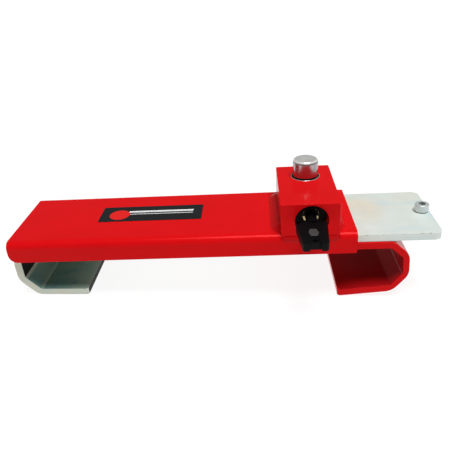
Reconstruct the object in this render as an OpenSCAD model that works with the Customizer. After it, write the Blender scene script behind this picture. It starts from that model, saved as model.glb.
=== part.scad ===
// Adjustable two-hook bar lock for a pair of rear door rods.
// An open-bottomed channel carries the lock block and the fixed hook. A flat bar
// with its own hook slides in the channel. A spring-returned pin in the block drops
// through a hole of the bar, and a key cylinder drives the latch that holds the pin.
// Units are millimetres. X runs along the bar, Y from the key side to the back, Z up.

/* [Channel] */
// Length of the channel
channel_length = 318; // [312:1:330]
// Outside width of the channel
channel_width = 98; // [98:1:104]
// Outside height of the channel
channel_height = 20; // [20:0.5:22]
// Outer radius of the two long top bends
bend_radius = 7; // [6:0.5:8]

/* [Bar and hooks] */
// Plate thickness of the bar and of both hooks
plate = 7; // [6:0.5:7]
// Clear height inside each hook mouth
mouth_height = 41; // [38:0.5:44]
// Length of bar standing out of the channel at rest
bar_reach = 75.5; // [66:0.5:84]
// Spacing of the adjustment holes
hole_pitch = 17; // [16:0.5:17.5]
// Number of holes that shorten the lock
holes_in = 7; // [4:1:8]

/* [Lock block] */
// Width of the block along the bar
block_width = 52; // [51:0.5:54]
// Depth of the block across the bar
block_depth = 88; // [87:0.5:89]
// Height of the block above the channel
block_height = 29; // [28.5:0.5:30]
// Depth of the round keyhole recess
recess_depth = 11; // [9:0.5:11]
// Radius of the round keyhole recess
recess_radius = 14.8; // [14.5:0.1:15.2]

/* [Pin and key] */
// Travel of the locking pin
pin_travel = 16; // [14:0.5:16]
// Height of the pin head above the block at rest
head_height = 17.5; // [17:0.5:20]
// Radius of the visible pin head
head_radius = 12; // [11.5:0.1:12.1]
// Length of the plastic key bow
bow_length = 37; // [32:0.5:44]
// Width of the key bow at its shoulders
bow_width = 27; // [24:0.5:28]

/* [Hidden] */
wall = 5;
gap = 0.3;
half_w = channel_width / 2;
bar_half = half_w - wall - 1;
bar_top = -wall - gap;
bar_low = bar_top - plate;
shelf_top = bar_low - 0.4;
shelf_low = shelf_top - plate;
block_x0 = channel_length - 67.4;
block_x1 = block_x0 + block_width;
block_y0 = -half_w + 1;
block_y1 = block_y0 + block_depth;
block_floor = -wall;
axis_x = block_x0 + 27;
pin_y = block_y1 - 24.5;
key_z = 13;
bar_end = channel_length + bar_reach;
screw_x = bar_end - 7.5;
tip_r = 6;
hole_r = 6.3;
tip_low = -4;
flange_low = 15.5;
flange_top = 19;
groove_low = 24.7 + pin_travel - 16;
groove_height = 5.6;
ring_r = 13.6;
head_top = block_height + head_height;
latch_low = 9;
latch_top = 12;
stud_e = 2.8284;
face_y = block_y0 + recess_depth;
body_y0 = face_y + 1;
body_y1 = -8;
plug_r = 7;
bow_y1 = face_y - 18.5;
bow_y0 = bow_y1 - bow_length;
mouth_in = 3;
bow_shift = 1.3;
badge_y = bow_y1 - 18.2;

// inner lines of the two bent plates, as x and z pairs
left_in = [
    [bar_end, bar_low],
    [17.5, bar_low],
    [7.2, bar_low - 10.2],
    [7.2, bar_low - mouth_height + 13.4],
    [20, bar_low - mouth_height - 0.4],
    [66, bar_low - mouth_height - 1.8]
];
// thickness of each leg and outer radius of each bend
left_t = [plate, plate, plate, plate, plate - 0.6];
left_r = [10, 12, 15, 12];
fix_x = channel_length + 43.5;
right_in = [
    [channel_length - 74, shelf_low],
    [fix_x - 12, shelf_low],
    [fix_x - 0.9, shelf_low - 10.3],
    [fix_x, shelf_low - mouth_height + 14.7],
    [fix_x - 10.5, shelf_low - mouth_height + 1.7],
    [fix_x - 58.7, shelf_low - mouth_height - 2.2]
];
right_t = [plate, plate - 0.5, plate - 1, plate - 0.7, plate];
right_r = [15, 15, 15, 15];
lip_dir = right_in[5] - right_in[4];
lip_low = right_in[5][1] - plate * abs(lip_dir[0]) / norm(lip_dir);
shift_x = -bar_end / 2;
shift_y = -(half_w + bow_y0) / 2;
shift_z = -lip_low;

// ---- shared shapes ----
module place() translate([shift_x, shift_y, shift_z]) children();

function unit(v) = v / norm(v);
function side(v) = [v[1], -v[0]];
function turn(a, b) = a[0] * b[1] - a[1] * b[0];

// points of a bend of radius r at corner b of the line a, b, c
function bend_pts(a, b, c, r, n) =
    let (
        u = unit(b - a),
        w = unit(c - b),
        s = turn(u, w) > 0 ? 1 : -1,
        g = acos(u * w),
        o = b + unit(w - u) * r / cos(g / 2),
        p = s * side(u) * r
    )
    [for (k = [0:n]) let (t = s * g * k / n) o + [p[0] * cos(t) - p[1] * sin(t), p[0] * sin(t) + p[1] * cos(t)]];

// where the line through a along u meets the line through b along w
function meet(a, u, b, w) = a + u * turn(b - a, w) / turn(u, w);

// closed outline of a plate bent along the inner line v, with leg thicknesses t
// and outer bend radii q
function bent(v, t, q, n) =
    let (
        last = len(v) - 1,
        s = turn(unit(v[1] - v[0]), unit(v[2] - v[1])) > 0 ? 1 : -1,
        u = [for (i = [0:last - 1]) unit(v[i + 1] - v[i])],
        e = [for (i = [0:last - 1]) v[i] + s * side(u[i]) * t[i]],
        o = concat(
            [e[0]],
            [for (i = [1:last - 1]) meet(e[i - 1], u[i - 1], e[i], u[i])],
            [v[last] + s * side(u[last - 1]) * t[last - 1]]
        ),
        inner = [for (i = [1:last - 1]) for (p = bend_pts(v[i - 1], v[i], v[i + 1], mouth_in, n)) p],
        outer = [for (i = [last - 1:-1:1]) let (p = bend_pts(o[i - 1], o[i], o[i + 1], q[i - 1], n)) for (k = [n:-1:0]) p[k]]
    )
    concat([v[0]], inner, [v[last], o[last]], outer, [o[0]]);

// arc points about c, radius r, from angle a to angle b
function arc(c, r, a, b, n) = [for (k = [0:n]) let (t = a + (b - a) * k / n) c + r * [cos(t), sin(t)]];

// rectangle with its own radius at each corner, counter-clockwise from the lower left
function rrect(x0, y0, x1, y1, r) = concat(
    arc([x0 + r[0], y0 + r[0]], r[0], 180, 270, 6),
    arc([x1 - r[1], y0 + r[1]], r[1], 270, 360, 6),
    arc([x1 - r[2], y1 - r[2]], r[2], 0, 90, 6),
    arc([x0 + r[3], y1 - r[3]], r[3], 90, 180, 6)
);

// y-z outline swept along x
module along_x(x0, x1) translate([x0, 0, 0]) rotate([90, 0, 90]) linear_extrude(x1 - x0) children();
// x-z outline swept along y
module along_y(y0, y1) translate([0, y1, 0]) rotate([90, 0, 0]) linear_extrude(y1 - y0) children();
module rod_z(x, y, z0, z1, r) translate([x, y, z0]) cylinder(h = z1 - z0, r = r, $fn = 64);
module rod_y(x, z, y0, y1, r) translate([x, y0, z]) rotate([-90, 0, 0]) cylinder(h = y1 - y0, r = r, $fn = 64);
module rod_x(y, z, x0, x1, r) translate([x0, y, z]) rotate([0, 90, 0]) cylinder(h = x1 - x0, r = r, $fn = 48);
module box(x0, x1, y0, y1, z0, z1) translate([x0, y0, z0]) cube([x1 - x0, y1 - y0, z1 - z0]);

// height along a closed-end coil at turn s of n turns
function coil_h(s, n, w, l) =
    s < 1 ? w / 2 + s * w * 1.03 :
    s > n - 1 ? l - w / 2 - (n - s) * w * 1.03 :
    w / 2 + w * 1.03 + (l - w - 2 * w * 1.03) * (s - 1) / (n - 2);

// coil of n turns, mean radius r, wire diameter w, length l, standing on z = 0
module coil(r, w, n, l, q, m) {
    steps = n * q;
    pts = [
        for (i = [0:steps]) for (j = [0:m - 1])
            let (a = 360 * i / q, b = 360 * j / m, d = r + w / 2 * cos(b))
            [d * cos(a), d * sin(a), coil_h(i / q, n, w, l) + w / 2 * sin(b) * 0.96]
    ];
    walls = [
        for (i = [0:steps - 1]) for (j = [0:m - 1])
            [i * m + j, (i + 1) * m + j, (i + 1) * m + (j + 1) % m, i * m + (j + 1) % m]
    ];
    cap0 = [[for (j = [0:m - 1]) j]];
    cap1 = [[for (j = [m - 1:-1:0]) steps * m + j]];
    polyhedron(points = pts, faces = concat(walls, cap0, cap1));
}

// ---- channel and what is fixed to it ----
module outer_channel() color([0.72, 0.09, 0.08]) place() difference() {
    intersection() {
        along_x(0, channel_length) polygon(concat(
            [[-half_w, -channel_height]],
            [[-half_w + wall, -channel_height]],
            arc([-half_w + wall + 1, -wall - 1], 1, 180, 90, 4),
            arc([half_w - wall - 1, -wall - 1], 1, 90, 0, 4),
            [[half_w - wall, -channel_height]],
            [[half_w, -channel_height]],
            arc([half_w - bend_radius, -bend_radius], bend_radius, 0, 90, 8),
            arc([-half_w + bend_radius, -bend_radius], bend_radius, 90, 180, 8)
        ));
        along_y(-half_w - 1, half_w + 1) polygon(rrect(0, -channel_height, channel_length, 10, [8, 2, 1, 1]));
    }
    box(block_x0, block_x1, -half_w - 1, block_y1, -wall, 1);
}

module lock_block() color([0.72, 0.09, 0.08]) place() difference() {
    translate([0, 0, block_floor]) linear_extrude(block_height - block_floor)
        polygon(rrect(block_x0, block_y0, block_x1, block_y1, [1.5, 1.5, 1.5, 1.5]));
    rod_y(axis_x, key_z, block_y0 - 1, body_y0, recess_radius);
    rod_y(axis_x, key_z, body_y0 - 1, body_y1, 13.1);
    rod_y(axis_x, key_z, body_y1 - 1, -4, 9);
    rod_z(axis_x, pin_y, block_floor + 1, 23.5, 15);
    rod_z(axis_x, pin_y, 22, block_height + 1, ring_r);
    box(axis_x - 17.5, axis_x + 21.5, -4.5, 34.5, block_floor - 1, latch_top + gap);
    box(axis_x - 10, axis_x + 10, -4.5, 1.4, latch_top, 17.6);
    rod_x(-15, key_z + 12, axis_x - 9, block_x1 + 1, 1.65);
}

module block_welds() color([0.68, 0.09, 0.08]) place() {
    along_y(-half_w + bend_radius + 0.5, block_y1 - 0.5)
        polygon([[block_x0, 0], [block_x0, 4], [block_x0 - 2, 3.2], [block_x0 - 4.5, 1.9], [block_x0 - 6.8, 0.8], [block_x0 - 8, 0]]);
    along_y(-half_w + bend_radius + 0.5, block_y1 - 0.5)
        polygon([[block_x1, 0], [block_x1 + 6.5, 0], [block_x1 + 5.4, 1.2], [block_x1 + 3.4, 2.6], [block_x1 + 1.6, 3.6], [block_x1, 4.2]]);
    along_x(block_x0 + 2, block_x1 - 2) polygon([
        [block_y0, -1.6],
        [block_y0 - 0.7, -2.6],
        [block_y0 - 1.1, -4],
        [-half_w - 0.4, -6],
        [-half_w, -8],
        [-half_w, -wall],
        [block_y0, -wall]
    ]);
    along_x(block_x0 + 2, block_x1 - 2) polygon([
        [block_y1, 0],
        [block_y1 + 1, 0],
        [block_y1 + 0.9, 2.6],
        [block_y1, 4.6]
    ]);
}

module fixed_hook() color([0.72, 0.09, 0.08]) place() difference() {
    intersection() {
        along_y(-half_w + wall, half_w - wall) polygon(bent(right_in, right_t, right_r, 5));
        translate([0, 0, -100]) linear_extrude(120)
            polygon(rrect(right_in[0][0] - 1, -half_w + wall, fix_x + 20, half_w - wall, [0.5, 0.5, 0.5, 0.5]));
    }
    rod_z(axis_x, pin_y, shelf_low - 1, shelf_top + 1, hole_r);
    hook_corner(-1);
    hook_corner(1);
}

// rounds one corner of the free end of the fixed lip
module hook_corner(s) {
    r = 4;
    x0 = right_in[5][0] - 3;
    y0 = half_w - wall;
    translate([0, 0, lip_low - 5]) linear_extrude(plate + 12) polygon(concat(
        [[x0, s * (y0 + 1)], [x0, s * (y0 - r)]],
        [for (p = arc([x0 + 3 + r, y0 - r], r, 180, 90, 6)) [p[0], s * p[1]]],
        [[x0 + 3 + r, s * (y0 + 1)]]
    ));
}

module seam(x0, x1, s) along_x(x0, x1) polygon([
    [s * (half_w - 2.2), -channel_height],
    [s * (half_w - wall), -channel_height],
    [s * (half_w - wall), shelf_low],
    [s * (half_w - wall - 2.8), shelf_low],
    [s * (half_w - wall - 2.2), -channel_height - 1],
    [s * (half_w - wall), -channel_height - 1.9],
    [s * (half_w - 2.8), -channel_height - 1.1]
]);

module hook_welds() color([0.68, 0.09, 0.08]) place() {
    seam(channel_length - 68, channel_length - 44, -1);
    seam(channel_length - 68, channel_length - 44, 1);
    seam(channel_length - 30, channel_length - 4, -1);
    seam(channel_length - 30, channel_length - 4, 1);
}

// ---- sliding bar ----
module sliding_bar() color([0.80, 0.80, 0.77]) place() difference() {
    intersection() {
        along_y(-bar_half, bar_half) polygon(bent(left_in, left_t, left_r, 5));
        translate([0, 0, -100]) linear_extrude(100)
            polygon(rrect(-20, -bar_half, bar_end, bar_half, [0.5, 7, 7, 0.5]));
    }
    for (k = [-holes_in:2]) rod_z(axis_x + k * hole_pitch, pin_y, bar_low - 1, bar_top + 1, hole_r);
    rod_z(screw_x, 0, bar_low - 1, bar_top + 1, 4);
    for (s = [-1, 1]) bar_lip_corner(s);
}

module bar_lip_corner(s) {
    r = 3;
    x1 = left_in[5][0] + 3;
    translate([0, 0, left_in[5][1] - plate - 3]) linear_extrude(plate + 8) polygon(concat(
        [[x1, s * (bar_half + 1)], [x1, s * (bar_half - r)]],
        [for (p = arc([x1 - 3 - r, bar_half - r], r, 0, 90, 6)) [p[0], s * p[1]]],
        [[x1 - 3 - r, s * (bar_half + 1)]]
    ));
}

module stop_screw() color([0.62, 0.62, 0.64]) place() translate([screw_x, 0, 0]) difference() {
    rotate_extrude($fn = 64) polygon([
        [0, bar_low],
        [3.6, bar_low],
        [3.95, bar_low + 0.5],
        [3.95, bar_top],
        [6.5, bar_top],
        [6.5, bar_top + 7.2],
        [5.9, bar_top + 7.8],
        [0, bar_top + 7.8]
    ]);
    translate([0, 0, bar_top + 3.8]) cylinder(h = 5, r = 3.464, $fn = 6);
}

// ---- pin group ----
module locking_pin() color([0.78, 0.78, 0.79]) place() translate([axis_x, pin_y, 0]) rotate_extrude($fn = 96) polygon(concat(
    [[0, tip_low], [tip_r - 1, tip_low], [tip_r, tip_low + 1], [tip_r, flange_low + 7.5]],
    [[7.8, flange_low + 7.5], [7.8, flange_low], [13.4, flange_low], [13.4, flange_top]],
    [[head_radius, flange_top], [head_radius, groove_low], [9.4, groove_low], [9.4, groove_low + groove_height]],
    [[head_radius, groove_low + groove_height]],
    arc([head_radius - 2.2, head_top - 2.2], 2.2, 0, 90, 8),
    [[0, head_top]]
));

module pin_collar() color([0.76, 0.76, 0.77]) place() translate([axis_x, pin_y, 0]) rotate_extrude($fn = 96) polygon([
    [head_radius + 0.35, flange_top + 0.3],
    [15, flange_top + 0.3],
    [15, 23.5],
    [ring_r, 23.5],
    [ring_r, block_height + 0.1],
    [ring_r - 0.2, block_height + 0.3],
    [ring_r - 0.7, block_height + 0.3],
    [ring_r - 0.7, block_height - 2],
    [head_radius + 0.35, block_height - 2]
]);

module pin_wiper_seal() color([0.04, 0.04, 0.04]) place() translate([axis_x, pin_y, 0]) rotate_extrude($fn = 96) polygon([
    [head_radius + 0.3, block_height - 2],
    [ring_r - 0.7, block_height - 2],
    [ring_r - 0.7, block_height],
    [head_radius + 0.3, block_height - 0.3]
]);

module pin_spring() color([0.60, 0.60, 0.62]) place()
    translate([axis_x, pin_y, -1.5]) coil(6.95, 1.2, 6, flange_low + 7.5 + 1.5 - 0.02, 24, 8);

module pin_carrier() color([0.66, 0.66, 0.68]) place() difference() {
    box(axis_x - 17.4, axis_x + 21.4, -0.4, 34.4, block_floor + 0.1, latch_low - gap);
    rod_z(axis_x, pin_y, -1.5, latch_low + 1, 14.2);
    rod_z(axis_x, pin_y, block_floor - 1, 0, tip_r + 0.05);
}

module latch_plate() color([0.70, 0.68, 0.60]) place() difference() {
    union() {
        translate([0, 0, latch_low]) linear_extrude(latch_top - latch_low)
            polygon(rrect(axis_x - 16.8, -0.3, axis_x + 16.8, 33.5, [1, 1, 3, 3]));
        box(axis_x - 9, axis_x + 5, -4.1, -0.7, 6.6, 16.4);
        box(axis_x - 9, axis_x + 5, -0.8, 1.0, latch_low, 16.4);
    }
    rod_z(axis_x, pin_y, latch_low - 1, latch_top + 1, 13.8);
    box(axis_x - 4.3, axis_x + 0.3, -5, -0.8, 5, 13.6);
}

// ---- key cylinder ----
module cylinder_face() color([0.05, 0.05, 0.055]) place() translate([axis_x, face_y, key_z]) rotate([-90, 0, 0])
    difference() {
        cylinder(h = 1, r = recess_radius - 0.2, $fn = 64);
        translate([0, 0, -1]) cylinder(h = 3, r = 7.4, $fn = 64);
    }

module chambers(r, x0, x1) for (k = [0:4]) rod_x(body_y0 + 4 + 4.5 * k, key_z, x0, x1, r);

module cylinder_body() color([0.74, 0.62, 0.34]) place() difference() {
    rod_y(axis_x, key_z, body_y0, body_y1, 13);
    rod_y(axis_x, key_z, body_y0 - 1, body_y1 + 1, plug_r + 0.05);
    chambers(1.4, axis_x - 12, axis_x - 4);
    box(axis_x - 14, axis_x - 12, body_y0 + 1.6, body_y0 + 24.4, key_z - 1.9, key_z + 1.9);
    rod_x(-15, key_z + 12, axis_x - 9, axis_x + 20, 1.65);
    for (a = [35, 145, 215, 325]) rod_y(axis_x + 10 * cos(a), key_z + 10 * sin(a), body_y0 - 1, body_y0 + 10, 1.3);
}

module cylinder_plug() color([0.80, 0.64, 0.28]) place() difference() {
    rod_y(axis_x, key_z, face_y - 0.2, body_y1, plug_r);
    box(axis_x - 4.3, axis_x + 4.3, face_y - 1, body_y1 - 1.4, key_z - 1.5, key_z + 1.5);
    for (k = [0:4]) rod_z(axis_x, body_y0 + 4 + 4.5 * k, key_z + 1, key_z + 8, 1.35);
}

module plug_cam() color([0.68, 0.68, 0.70]) place() {
    rod_y(axis_x, key_z, body_y1, body_y1 + 3.2, 6.4);
    rod_y(axis_x - stud_e * cos(45), key_z - stud_e * sin(45), body_y1 + 3.2, -1, 2);
}

module key_pins() color([0.78, 0.60, 0.26]) place()
    for (k = [0:4]) rod_z(axis_x, body_y0 + 4 + 4.5 * k, key_z + 1.5, key_z + 6.8, 1.3);

module driver_pins() color([0.72, 0.72, 0.73]) place()
    for (k = [0:4]) rod_x(body_y0 + 4 + 4.5 * k, key_z, axis_x - 9.4, axis_x - 7.1, 1.3);

module driver_springs() color([0.60, 0.60, 0.62]) place() for (k = [0:4])
    translate([axis_x - 11.98, body_y0 + 4 + 4.5 * k, key_z]) rotate([0, 90, 0]) coil(0.95, 0.34, 4, 2.56, 10, 5);

module chamber_strip() color([0.76, 0.62, 0.30]) place()
    box(axis_x - 12.6, axis_x - 12, body_y0 + 1.8, body_y0 + 24.2, key_z - 1.8, key_z + 1.8);

module anti_drill_pins() color([0.45, 0.45, 0.47]) place() for (a = [35, 145, 215, 325])
    rod_y(axis_x + 10 * cos(a), key_z + 10 * sin(a), body_y0 + 0.05, body_y0 + 9.9, 1.25);

module cylinder_dowel() color([0.55, 0.55, 0.57]) place() rod_x(-15, key_z + 12, axis_x - 8.9, block_x1 - 0.3, 1.6);

// ---- key ----
module key_blade() color([0.74, 0.74, 0.72]) place() translate([axis_x, 0, key_z]) difference() {
    union() {
        translate([0, 0, -1.2]) linear_extrude(2.4) polygon([
            [-4, bow_y1 + 3],
            [4, bow_y1 + 3],
            [4, body_y1 - 4.4],
            [2, body_y1 - 2],
            [-2, body_y1 - 2],
            [-4, body_y1 - 4.4]
        ]);
    }
    for (k = [0:4]) for (s = [-1, 1])
        translate([0, body_y0 + 4 + 4.5 * k, s * 1.2]) rotate([s > 0 ? 0 : 180, 0, 0])
            translate([0, 0, -0.55]) cylinder(h = 1, r1 = 0.5, r2 = 1.6, $fn = 32);
    for (s = [-1, 1]) translate([s * 2.9, face_y + 12, s * 1.2]) cube([0.9, 2 * abs(body_y1 - face_y), 0.9], center = true);
}

// key bow, outline tapering toward the hand end
module key_bow() color([0.04, 0.04, 0.045]) place() translate([axis_x - bow_shift, 0, key_z]) difference() {
    union() {
        translate([0, 0, -3.5]) linear_extrude(7) polygon(concat(
            [[-bow_width / 2, bow_y1 - 5], [-bow_width / 2 + 5.5, bow_y1 - 0.4], [-bow_width / 2 + 7.5, bow_y1]],
            arc([bow_width / 2 - 2, bow_y1 - 2], 2, 90, 6, 4),
            arc([bow_width / 2 - 5.4, bow_y0 + 2.5], 2.5, -6, -90, 4),
            arc([-bow_width / 2 + 5.4, bow_y0 + 2.5], 2.5, 270, 186, 4)
        ));
        translate([bow_shift, 0, 0]) rod_y(0, 0, bow_y1 - 1, face_y - 0.9, 4.9);
    }
    translate([bow_shift, 0, 0]) box(-4, 4, bow_y1 + 3, face_y, -1.2, 1.2);
    translate([0, badge_y, 2.7]) linear_extrude(2) polygon(badge_pts(4.5, 2.8, 6.2));
    box(-3.4, 3.4, bow_y0 - 1, badge_y - 6.6, 2.5, 4);
    translate([0, bow_y0 + 6.6, -4]) cylinder(h = 8, r = 2.2, $fn = 48);
    box(-4.7, 4.7, bow_y0 - 1, bow_y0 + 2.6, -4, 4);
}

function badge_pts(a, f, b) = [[a, 0], [f, b], [-f, b], [-a, 0], [-f, -b], [f, -b]];

module key_badge() color([0.55, 0.56, 0.58]) place() translate([axis_x - bow_shift, badge_y, key_z + 2.7])
    linear_extrude(0.9) polygon(badge_pts(4.3, 2.6, 5.9));

// ---- label, plain and without lettering ----
module label_plate() color([0.03, 0.03, 0.035]) place()
    linear_extrude(0.3) polygon(rrect(76.5, -11.3, 177, 19.7, [1.2, 1.2, 1.2, 1.2]));

module label_disc() color([0.75, 0.08, 0.07]) place() rod_z(95.5, 1.9, 0.3, 0.42, 10);

outer_channel();
lock_block();
block_welds();
fixed_hook();
hook_welds();
sliding_bar();
stop_screw();
locking_pin();
pin_collar();
pin_wiper_seal();
pin_spring();
pin_carrier();
latch_plate();
cylinder_face();
cylinder_body();
cylinder_plug();
plug_cam();
key_pins();
driver_pins();
driver_springs();
chamber_strip();
anti_drill_pins();
cylinder_dowel();
key_blade();
key_bow();
key_badge();
label_plate();
label_disc();
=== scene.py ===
import math
import random

import bmesh
import bpy
from mathutils import Matrix, Vector, noise


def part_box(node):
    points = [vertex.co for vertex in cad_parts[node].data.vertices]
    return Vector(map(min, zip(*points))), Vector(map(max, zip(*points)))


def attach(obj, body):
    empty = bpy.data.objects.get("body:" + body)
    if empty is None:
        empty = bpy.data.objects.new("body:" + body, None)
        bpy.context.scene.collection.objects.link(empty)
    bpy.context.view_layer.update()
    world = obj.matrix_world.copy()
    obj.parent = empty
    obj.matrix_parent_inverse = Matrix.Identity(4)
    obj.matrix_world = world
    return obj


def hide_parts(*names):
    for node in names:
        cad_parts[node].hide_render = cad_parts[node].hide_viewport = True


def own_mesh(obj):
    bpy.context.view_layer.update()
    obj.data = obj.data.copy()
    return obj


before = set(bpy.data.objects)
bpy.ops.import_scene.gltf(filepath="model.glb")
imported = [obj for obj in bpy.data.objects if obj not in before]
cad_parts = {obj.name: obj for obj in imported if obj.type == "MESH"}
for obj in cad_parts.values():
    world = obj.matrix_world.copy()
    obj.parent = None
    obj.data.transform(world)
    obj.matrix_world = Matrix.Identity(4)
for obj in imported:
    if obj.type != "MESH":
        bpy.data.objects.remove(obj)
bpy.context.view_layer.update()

# ------------------------------------------------------------------ design coordinates
# Design coordinates are millimetres: x = 0 at the channel's left end, y = 0 on its
# centreline, z = 0 on its top face. The channel's CAD box places them in the frame.
_lo, _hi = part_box("outer_channel")
ORIGIN = Vector((_lo[0], (_lo[1] + _hi[1]) / 2, _hi[2]))
MM = 0.001
TO_FRAME = Matrix.Translation(ORIGIN) @ Matrix.Scale(MM, 4)


def d_box(node):
    """A CAD node's box in design millimetres."""
    a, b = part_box(node)
    return (Vector(a) - ORIGIN) / MM, (Vector(b) - ORIGIN) / MM


_c0, _c1 = d_box("outer_channel")
LENGTH = _c1[0]
HALF_W = _c1[1]
HEIGHT = -_c0[2]
WALL = 5.0  # channel wall
BEND = 7.0  # outer radius of the channel's long edges
_b0, _b1 = d_box("lock_block")
BX0, BX1, BY0, BY1, BZ0, BZ1 = _b0[0], _b1[0], _b0[1], _b1[1], _b0[2], _b1[2]
_p0, _p1 = d_box("locking_pin")
AXIS_X = (_p0[0] + _p1[0]) / 2
PIN_Y = (_p0[1] + _p1[1]) / 2
HEAD_TOP = _p1[2]
TIP_LOW = _p0[2]
_f0, _f1 = d_box("cylinder_face")
KEY_Z = (_f0[2] + _f1[2]) / 2
FACE_Y = _f0[1]
_s1 = d_box("sliding_bar")[1]
BAR_END, BAR_HALF, BAR_TOP = _s1[0], _s1[1], _s1[2]
PLATE = 7.0  # thickness of the bar and hook plates
BAR_LOW = BAR_TOP - PLATE
SHELF_LOW = BAR_LOW - 0.4 - PLATE
MOUTH = 41.0  # height of a hook's mouth
_h0, _h1 = d_box("stop_screw")
SCREW_X = (_h0[0] + _h1[0]) / 2
BOW_Y0 = d_box("key_bow")[0][1]
BOW_Y1 = FACE_Y - 18.5
BADGE_Y = BOW_Y1 - 18.2
RECESS_R = (_f1[0] - _f0[0]) / 2 + 0.2
FLANGE_LOW, FLANGE_TOP, FLANGE_R = 15.5, 19.0, 13.4
HEAD_R = 12.0
RING_R = 13.6
GROOVE_LOW, GROOVE_TOP, GROOVE_R = 24.7, 30.3, 9.4
SHAFT_R = 6.0
HOLE_R = 6.3  # pin holes in bar and hook
HOLE_PITCH = 17
CHAMBER_R, CHAMBER_TOP = 15.0, 23.5  # pin chamber in the block
WELD_STEP = 0.55
WELD_ARCS = 14
KEY_HALF = 3.5  # half the key bow's thickness
LABEL_TOP = 0.3
SPRING_LENGTH, SPRING_PRESSED = 24.4, 8.4


# ------------------------------------------------------------------ mesh helpers
def arc(cx, cy, r, a, b, n):
    return [
        (
            cx + r * math.cos(math.radians(a + (b - a) * k / n)),
            cy + r * math.sin(math.radians(a + (b - a) * k / n)),
        )
        for k in range(n + 1)
    ]


def rect(x0, y0, x1, y1):
    return [(x0, y0), (x1, y0), (x1, y1), (x0, y1)]


def rrect(x0, y0, x1, y1, r, n=8):
    """Rectangle with a radius r[0..3] at each corner, counter-clockwise from the low one."""
    return (
        arc(x0 + r[0], y0 + r[0], r[0], 180, 270, n)
        + arc(x1 - r[1], y0 + r[1], r[1], 270, 360, n)
        + arc(x1 - r[2], y1 - r[2], r[2], 0, 90, n)
        + arc(x0 + r[3], y1 - r[3], r[3], 90, 180, n)
    )


def circle(cx, cy, r, n=72):
    return arc(cx, cy, r, 0, 360 * (n - 1) / n, n - 1)


def prism(outline, axis, a, b):
    """bmesh of an outline swept along an axis; x takes (y, z), y takes (x, z), z takes (x, y)."""
    put = {
        "x": lambda u, v, w: (w, u, v),
        "y": lambda u, v, w: (u, w, v),
        "z": lambda u, v, w: (u, v, w),
    }[axis]
    bm = bmesh.new()
    low = [bm.verts.new(put(u, v, a)) for u, v in outline]
    top = [bm.verts.new(put(u, v, b)) for u, v in outline]
    n = len(outline)
    bm.faces.new(low)
    bm.faces.new(top)
    for k in range(n):
        bm.faces.new((low[k], low[(k + 1) % n], top[(k + 1) % n], top[k]))
    bmesh.ops.remove_doubles(bm, verts=bm.verts, dist=1e-5)
    bmesh.ops.recalc_face_normals(bm, faces=bm.faces)
    return bm


def lathe(profile, n=96, axis="z", at=(0, 0, 0)):
    """Closed profile of (radius, height) turned about an axis through at."""
    bm = bmesh.new()
    rings = []
    for r, h in profile:
        if r < 1e-6:
            rings.append([bm.verts.new((0, 0, h))] * n)
        else:
            rings.append(
                [
                    bm.verts.new(
                        (r * math.cos(2 * math.pi * k / n), r * math.sin(2 * math.pi * k / n), h)
                    )
                    for k in range(n)
                ]
            )
    m = len(profile)
    open_ends = profile[0][0] < 1e-6 and profile[-1][0] < 1e-6
    for i in range(m - 1 if open_ends else m):
        a, b = rings[i], rings[(i + 1) % m]
        for k in range(n):
            quad = []
            for v in (a[k], a[(k + 1) % n], b[(k + 1) % n], b[k]):
                if v not in quad:
                    quad.append(v)
            if len(quad) > 2:
                bm.faces.new(quad)
    bmesh.ops.recalc_face_normals(bm, faces=bm.faces)
    if axis == "y":
        bmesh.ops.transform(bm, matrix=Matrix.Rotation(math.radians(-90), 4, "X"), verts=bm.verts)
    bmesh.ops.translate(bm, vec=Vector(at), verts=bm.verts)
    return bm


def skin(bm, rings):
    """Closed tube over equal rings of vertices, with both ends capped."""
    m = len(rings[0])
    for low, top in zip(rings, rings[1:]):
        for k in range(m):
            j = (k + 1) % m
            bm.faces.new((low[k], low[j], top[j], top[k]))
    bm.faces.new(rings[0])
    bm.faces.new(rings[-1])
    bmesh.ops.recalc_face_normals(bm, faces=bm.faces)


def as_object(name, bm):
    me = bpy.data.meshes.new(name)
    bm.to_mesh(me)
    bm.free()
    ob = bpy.data.objects.new(name, me)
    bpy.context.scene.collection.objects.link(ob)
    return ob


def apply_all(ob):
    """Applies the modifiers, keeping the mesh that they make."""
    bpy.context.view_layer.update()
    graph = bpy.context.evaluated_depsgraph_get()
    me = bpy.data.meshes.new_from_object(ob.evaluated_get(graph))
    ob.modifiers.clear()
    old = ob.data
    ob.data = me
    bpy.data.meshes.remove(old)


def cut(ob, bm, mode="DIFFERENCE"):
    """Boolean of ob with a closed bmesh, which it uses up."""
    tool = as_object("tool", bm)
    mod = ob.modifiers.new("cut", "BOOLEAN")
    mod.operation = mode
    mod.solver = "EXACT"
    mod.object = tool
    apply_all(ob)
    me = tool.data
    bpy.data.objects.remove(tool)
    bpy.data.meshes.remove(me)


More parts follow.
